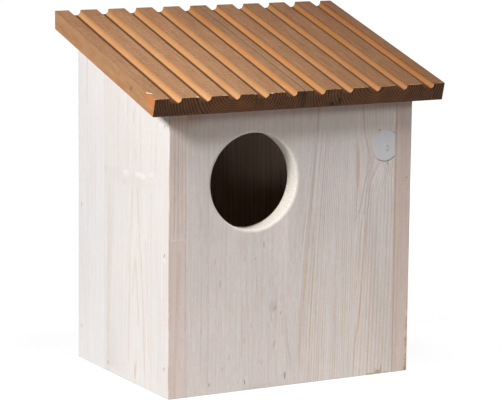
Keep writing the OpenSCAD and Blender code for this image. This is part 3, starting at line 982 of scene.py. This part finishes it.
panel(
    "left_side_stave_1", left_axes, straight_grain(4.5), tone=linear(234, 230, 229), ring=0.3,
    streak=0.13, dash=0.08,
    lines=[(1.6, 0.35, [(19.5, 250), (20, 275), (21, 300)]),
           (0.8, 0.2, [(50, 200), (50, 260), (49, 290)]),
           (0.7, 0.2, [(24, 5), (24.5, 80), (24, 185)])],
    dark=[(8, 153, 1.8, 3.6, 0.22), (8, 33, 2, 4.5, 0.18)], light=[(57.6, 120, 0.8, 110, 0.35)])
panel(
    "left_side_stave_2_lower", left_axes, arched_grain(126, 30, 0.05, 4.6), finger=FINGERS,
    ring=0.16, streak=0.12, dash=0.07, warmth=0.1,
    lines=[(2.2, 0.5, [(133, 56), (130, 82), (127, 108), (125, 122)]),
           (1.8, 0.4, [(119.5, 84), (121.5, 100), (124.2, 120)]),
           (2, 0.4, [(111, 18), (112.5, 70), (114.5, 124), (117, 160), (118.5, 186)]),
           (2, 0.5, [(145, 14), (141, 84), (137, 120), (132.5, 150), (129, 189)]),
           (1.4, 0.3, [(110, 100), (110.5, 130), (112, 150)]),
           (1.6, 0.4, [(153.5, 30), (152, 70), (149, 110), (145, 142)]),
           (1.1, 0.35, [(157, -6), (157.2, 90), (157, 192)]),
           (4.5, 0.28, [(67, -6), (68, 90), (69, 186)]),
           (0.8, 0.2, [(97, 10), (96.5, 60), (96, 180)]),
           (0.8, 0.2, [(102, 10), (102, 70), (101, 150)])],
    warm=[(67, 9, 2.4, 2.6, 0.35), (102, 188, 2.6, 2.4, 0.4)],
    knots=[(125.5, 13, 3.2, 10, 0.42, 10), (125.5, 10, 2.2, 5, 0.3, 10)],
    light=[(121, 10, 3, 10, 0.4), (131, 12, 3, 9, 0.4)])
panel(
    "left_side_stave_2_upper", left_axes, arched_grain(126, 30, -0.05, 5.5), finger=FINGERS,
    ring=0.16, streak=0.12, dash=0.08, warmth=0.1,
    lines=[(1.4, 0.35, [(88, 196), (88.5, 230), (90, 268)]),
           (1.4, 0.3, [(109, 200), (109, 235), (108, 270)]),
           (2.4, 0.4, [(120.5, 244), (122, 254), (123.5, 262)]),
           (1.8, 0.35, [(138, 200), (136, 226), (133, 258)]),
           (1.6, 0.35, [(166, 200), (167, 225), (168.5, 255)]),
           (1, 0.3, [(157, 192), (157, 240), (157, 270)])],
    warm=[(125, 218, 3.6, 9, 0.3)],
    light=[(105, 197, 8, 4.5, 0.95), (135, 199, 14, 3.5, 0.85), (158, 203, 6, 3, 0.5)])
panel(
    "left_side_stave_3_lower", left_axes, straight_grain(5), edge=LEFT_EDGE_LOWER,
    tone=linear(230, 223, 220), ring=0.3, streak=0.13, dash=0.06,
    dark=[(184.5, 133.5, 1.5, 2.6, 0.35), (185, 27, 1.6, 3, 0.25)],
    warm=[(184.3, 133, 1, 1.4, 0.8)], light=[(178.6, 108, 1.1, 36, 0.9), (184.5, 128, 3, 4, 0.6)])
panel(
    "left_side_stave_3_upper", left_axes, straight_grain(3.4, inward=1), edge=LEFT_EDGE_UPPER,
    tone=linear(229, 222, 218), ring=0.2, streak=0.07, dash=0.05,
    warm=[(183.5, 251, 2.4, 1.4, 0.6, 30)])

STRAIGHT_SIDE = dict(ring=0.35, streak=0.13, dash=0.08)
ARCHED_SIDE = dict(ring=0.4, streak=0.12, dash=0.08, finger=FINGERS)
panel("right_side_stave_1", right_axes, straight_grain(4), **STRAIGHT_SIDE)
panel("right_side_stave_2_lower", right_axes, arched_grain(118, 28, 0.045, 4.4), **ARCHED_SIDE)
panel("right_side_stave_2_upper", right_axes, arched_grain(110, 26, -0.04, 4.9), **ARCHED_SIDE)
panel("right_side_stave_3", right_axes, straight_grain(5), edge=RIGHT_EDGE, **STRAIGHT_SIDE)

for number in range(1, 6):
    grain = arched_grain(50 * number + 20, 26, 0.04, 4.6)
    if number % 2:
        grain = straight_grain(3.6 + 0.4 * number, 0.01 * number)
    panel("back_stave_%d" % number, back_axes, grain, ring=0.5, streak=0.14, dash=0.12, warmth=0.6)

for number in range(1, 4):
    node = "floor_stave_%d" % number
    grain = straight_grain(3.5 + number, inward=0.5)
    eased_panel(node, bare_wood(node, floor_axes, grain))

roof_board("roof_board_left", 0, BOARD_JOINT, range(LEFT_GROOVES),
           roof_wood("roof_left", 80, 0.4))
roof_board("roof_board_right", BOARD_JOINT, ROOF_W, range(LEFT_GROOVES, ALL_GROOVES),
           roof_wood("roof_right", 230, 1.5))


# ---- Brads and knot plug ----

STEEL = linear(204, 197, 192)
RUST = linear(172, 144, 124)


def steel():
    s = Shader(bpy.data.materials.new("brad_steel"))
    rust = s.ramp(s.noise(s.place_mm()), 0.4, 0.6)
    s.output(s.node("ShaderNodeBsdfPrincipled", {
        "Base Color": s.mix(rust, STEEL, RUST), "Metallic": 0.4,
        "Roughness": s.ramp(rust, 0, 1, 0.4, 0.7)}))
    return s.owner


brad_steel = steel()
for node in ("left_side_brads", "right_side_brads", "front_brads", "back_brads"):
    NODES[node].data.materials.clear()
    NODES[node].data.materials.append(brad_steel)

PLUG_R = KNOT_R - 0.15
PLUG_SHIFT = (-0.18, 0.24)       # leaves its gap at the lower right
PLUG_SIDES = 64
PLUG_RINGS = 6                   # rings of faces over its front
PLUG_WHITE = linear(225, 223, 225)
PLUG_BROWN_TINT = (0.66, 0.56, 0.50)
PLUG_BRIGHT_TINT = (1.22, 1.17, 1.08)


def plug_material():
    b = Board("knot_plug", front_axes)
    colour = b.scale(PLUG_WHITE, b.sway(b.streaks(2, 14), 0.07))
    brown = b.spots([(KNOT_U + 2, KNOT_V - 4.3, 1.3, 1.4, 1),
                     (KNOT_U + 1.8, KNOT_V - 0.6, 1.2, 0.9, 0.8),
                     (KNOT_U + 2.6, KNOT_V - 1, 0.7, 3.4, 0.6, -42)])
    bright = b.spots([(KNOT_U - 1.6, KNOT_V + 1.4, 1, 1.1, 1)])
    colour = b.tint(colour, (brown, PLUG_BROWN_TINT), (bright, PLUG_BRIGHT_TINT))
    return b.surface(colour, 0.5, b.streaks(1.5, 10), 0.05)


def knot_plug():
    """Round plug with its front edge eased, cut off flat where the side panel begins."""
    centre = (KNOT_X + PLUG_SHIFT[0], KNOT_V + PLUG_SHIFT[1])
    rows = [(PLUG_R, plug_high.y - plug_low.y), (PLUG_R, 0.3), (PLUG_R - 0.1, 0.1),
            (PLUG_R - 0.4, 0)]
    rows += [(PLUG_R * k / PLUG_RINGS, 0) for k in range(PLUG_RINGS - 1, 0, -1)]
    bm = bmesh.new()
    loops = []
    for radius, deep in rows:
        circle = list(arc(centre, radius, 0, 360, PLUG_SIDES))[:-1]
        loops.append([bm.verts.new((x, FRONT + deep, z)) for x, z in circle])
    join_loops(bm, loops)
    bm.faces.new(loops[0])
    bm.faces.new(loops[-1])
    cut = bmesh.ops.bisect_plane(bm, geom=bm.verts[:] + bm.edges[:] + bm.faces[:],
                                 plane_co=(INNER_RIGHT - 0.15, 0, 0), plane_no=(1, 0, 0),
                                 clear_outer=True)
    rim = [e for e in cut["geom_cut"] if isinstance(e, bmesh.types.BMEdge)]
    bmesh.ops.contextual_create(bm, geom=rim)
    add_piece("front_knot_plug", bm, plug_material())


knot_plug()

# ---- Stage, light and camera ----

# From here on, sizes are in metres.

MIDDLE = Vector((0, 0, 0.17))
SKY_LEVEL = 0.02
FLOOR_HALF = 6.0
FLOOR_DROP = 0.0002
FLOOR_GREY = 0.2         # what the floor's white gives back of the lamps' light
FLOOR_WHITE = 0.85       # share of the floor's white that the lamps don't have to give
FAR_WHITE = 1.02
GLOW_LEVEL = 0.72
GLOW_REACH = 0.40
GLOW_SOFT = 0.05


def soft_light(name, azimuth, elevation, distance, size, level):
    """Flat lamp aimed at the house, size being its width and height. Level 1 lights a facing
    white surface to white."""
    a, e = math.radians(azimuth), math.radians(elevation)
    towards = Vector((math.sin(a) * math.cos(e), -math.cos(a) * math.cos(e), math.sin(e)))
    data = bpy.data.lights.new(name, "AREA")
    data.shape = "RECTANGLE"
    data.size, data.size_y = size
    data.energy = level * math.pi ** 2 * distance ** 2
    lamp = add_object(name, data)
    lamp.location = MIDDLE + towards * distance
    lamp.rotation_mode = "QUATERNION"
    lamp.rotation_quaternion = (-towards).to_track_quat("-Z", "Y")


def background_rays(s):
    """1 for camera, glossy and transmission rays, which see the white background."""
    path = s.node("ShaderNodeLightPath")
    seen = s.math("MAXIMUM", path.outputs["Is Camera Ray"], path.outputs["Is Glossy Ray"])
    return s.math("MAXIMUM", seen, path.outputs["Is Transmission Ray"])


def make_world():
    world = bpy.data.worlds.new("studio")
    bpy.context.scene.world = world
    s = Shader(world)
    level = s.times_plus(background_rays(s), 1 - SKY_LEVEL, SKY_LEVEL)
    s.output(s.node("ShaderNodeBackground", {"Strength": level}), "ShaderNodeOutputWorld")


def make_floor():
    """White sheet under the house, which glows a little near it and lights the walls' feet."""
    bm = bmesh.new()
    bmesh.ops.create_grid(bm, x_segments=1, y_segments=1, size=FLOOR_HALF)
    bmesh.ops.translate(bm, vec=(0, 0, -FLOOR_DROP), verts=bm.verts)
    mesh = bpy.data.meshes.new("studio_floor")
    bm.to_mesh(mesh)
    bm.free()
    floor = add_object("studio_floor", mesh)
    s = Shader(bpy.data.materials.new("studio_floor"))
    near = s.length(s.node("ShaderNodeTexCoord").outputs["Object"])
    glow = s.ramp(near, GLOW_REACH - GLOW_SOFT, GLOW_REACH + GLOW_SOFT, GLOW_LEVEL, 0, "LINEAR")
    white = s.ramp(near, 0.3, 0.9, FLOOR_WHITE, FAR_WHITE, "LINEAR")
    seen = background_rays(s)
    strength = s.times_plus(seen, s.minus(white, glow), glow)
    sheet = s.node("ShaderNodeBsdfDiffuse", (s.times(seen, FLOOR_GREY),))
    lit = s.node("ShaderNodeEmission", ((1, 1, 1), strength))
    s.output(s.node("ShaderNodeAddShader", (sheet.outputs[0], lit.outputs[0])))
    mesh.materials.append(s.owner)


CAMERA_PLACE = Vector((-1.1173, -2.0183, 0.5503))
CAMERA_AZIMUTH = 29.147
CAMERA_DROP = 9.573
CAMERA_ROLL = 0.604
CAMERA_LENS = 175.17


def make_camera():
    data = bpy.data.cameras.new("camera")
    data.sensor_width = 36
    data.lens = CAMERA_LENS
    data.clip_start = 0.05
    data.clip_end = 50
    camera = add_object("camera", data)
    turn = (Matrix.Rotation(-math.radians(CAMERA_AZIMUTH), 4, "Z")
            @ Matrix.Rotation(math.radians(90 - CAMERA_DROP), 4, "X")
            @ Matrix.Rotation(math.radians(CAMERA_ROLL), 4, "Z"))
    camera.matrix_world = Matrix.Translation(CAMERA_PLACE) @ turn
    bpy.context.scene.camera = camera


soft_light("key_light", -71, 29.5, 1.2, (0.11, 0.2), 0.925)
soft_light("top_light", 0, 75, 1.2, (0.3, 0.3), 0.56)
soft_light("side_light", 60, 18, 1.2, (0.4, 0.2), 0.32)
soft_light("low_light", -40, -3, 1.2, (0.5, 0.12), 0.09)
soft_light("rear_light", 140, 12, 1.4, (0.9, 0.9), 0.3)
make_world()
make_floor()
make_camera()
bpy.context.scene.view_settings.view_transform = "Standard"
